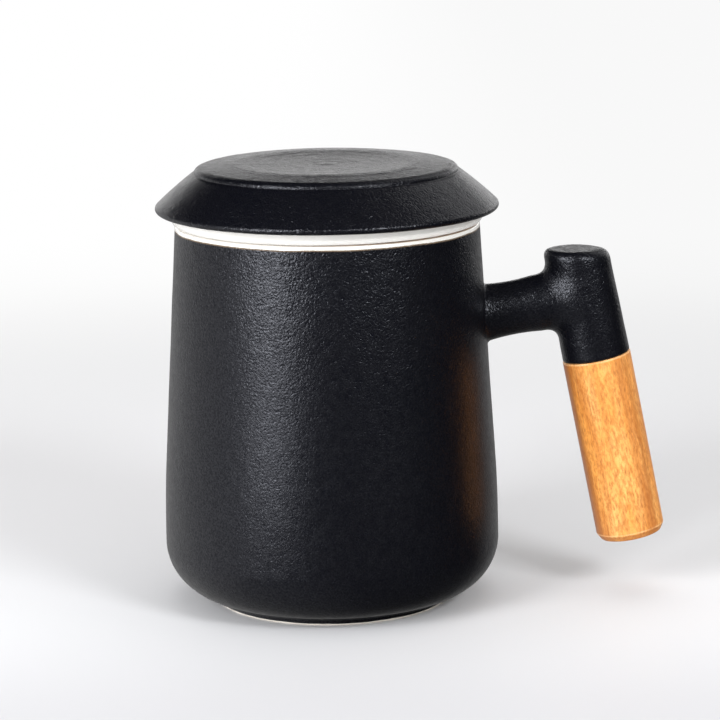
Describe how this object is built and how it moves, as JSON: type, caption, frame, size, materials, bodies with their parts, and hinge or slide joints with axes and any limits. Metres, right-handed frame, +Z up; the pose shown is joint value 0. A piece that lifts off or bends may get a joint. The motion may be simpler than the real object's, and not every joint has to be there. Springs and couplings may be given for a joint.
{
  "type": "lidded tea mug with infuser",
  "caption": "Free-standing ceramic tea mug with a lift-off lid, a drop-in perforated infuser basket and a side handle that ends in a turned wooden grip.",
  "frame": {"origin": "centre of the foot ring on the table", "axes": "+Z up along the cup's axis, +X towards the handle"},
  "size_m": [0.1327, 0.0894, 0.1159],
  "materials": {
    "black_glaze": "matt black textured glaze outside, glossy white glaze inside and on the lip, bare white clay under the foot ring",
    "black_glaze_lid": "matt black textured glaze on top, glossy white glaze underneath",
    "white_glaze": "glossy white glaze",
    "grip_wood": "oiled satin beech, grain along the grip",
    "stud_steel": "plain threaded rod",
    "adhesive": "hardened two-part adhesive",
    "insert_brass": "turned brass"
  },
  "bodies": {
    "mug": {"mug_body": "black_glaze", "wooden_grip": "grip_wood", "grip_stud": "stud_steel", "stud_bond": "adhesive", "grip_insert": "insert_brass"},
    "infuser_basket": {"infuser": "white_glaze"},
    "lid_cover": {"lid": "black_glaze_lid"}
  },
  "joints": [
    {"name": "infuser_lift", "type": "slide", "parent": "mug", "child": "infuser_basket", "axis": [0, 0, 1], "range_m": [0, 0.09]},
    {"name": "lid_lift", "type": "slide", "parent": "infuser_basket", "child": "lid_cover", "axis": [0, 0, 1], "range_m": [0, 0.06]}
  ]
}
